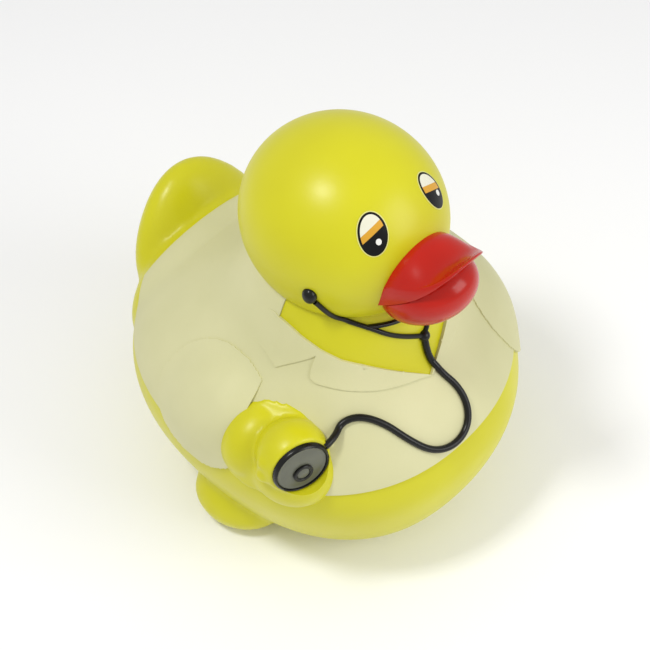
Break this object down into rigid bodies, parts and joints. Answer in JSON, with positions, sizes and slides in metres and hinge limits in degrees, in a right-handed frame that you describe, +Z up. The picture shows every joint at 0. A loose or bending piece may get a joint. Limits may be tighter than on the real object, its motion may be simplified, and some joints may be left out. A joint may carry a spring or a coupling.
{
  "type": "floating chlorine dispenser",
  "caption": "Duck-shaped floating pool and spa chlorine dispenser in a doctor's coat, with a stethoscope and a capped tablet cartridge in its base.",
  "frame": {"origin": "on the floor, under the middle of the whole duck's width and length", "axes": "+Z up, the duck faces -Y, its own left is +X"},
  "size_m": [0.1236, 0.1414, 0.152],
  "materials": {
    "yellow_vinyl": "soft satin vinyl",
    "red_vinyl": "glossy paint over vinyl",
    "white_coat": "matte cream paint over vinyl",
    "black_relief": "glossy black paint over vinyl",
    "grey_face": "satin grey paint",
    "eye_print": "printed, glossy",
    "white_plastic": "satin moulded",
    "grey_plastic": "satin moulded",
    "seal_rubber": "matte",
    "ballast_steel": "plain"
  },
  "bodies": {
    "duck": {"body_shell": "yellow_vinyl", "head_shell": "yellow_vinyl", "upper_bill": "red_vinyl", "lower_bill": "red_vinyl", "right_eye": "eye_print", "left_eye": "eye_print", "coat": "white_coat", "right_lapel": "white_coat", "left_lapel": "white_coat", "right_sleeve": "white_coat", "left_sleeve": "white_coat", "right_hand": "yellow_vinyl", "left_hand": "yellow_vinyl", "right_ear_tip": "black_relief", "left_ear_tip": "black_relief", "right_ear_tube": "black_relief", "left_ear_tube": "black_relief", "spring_band": "black_relief", "tube_junction": "black_relief", "stethoscope_tube": "black_relief", "chestpiece_drum": "black_relief", "chestpiece_face": "grey_face", "chestpiece_ring": "black_relief", "chestpiece_button": "grey_face", "cartridge_well": "white_plastic", "well_gasket": "seal_rubber", "ballast_ring": "ballast_steel"},
    "seal_carrier": {"cap_seal": "seal_rubber"},
    "cap": {"cartridge_cap": "white_plastic", "flow_rivet": "grey_plastic"},
    "flow_ring": {"flow_ring": "grey_plastic"}
  },
  "joints": [
    {"name": "cap_travel", "type": "slide", "parent": "duck", "child": "seal_carrier", "axis": [0, 0, -1], "range_m": [0, 0.055]},
    {"name": "cap_turn", "type": "hinge", "parent": "seal_carrier", "child": "cap", "pos_m": [0, -0.00512, 0.0104], "axis": [0, 0, 1], "range_deg": [0, 90]},
    {"name": "flow_turn", "type": "hinge", "parent": "cap", "child": "flow_ring", "pos_m": [0, -0.00512, 0.007], "axis": [0, 0, 1], "range_deg": [0, 15]}
  ]
}
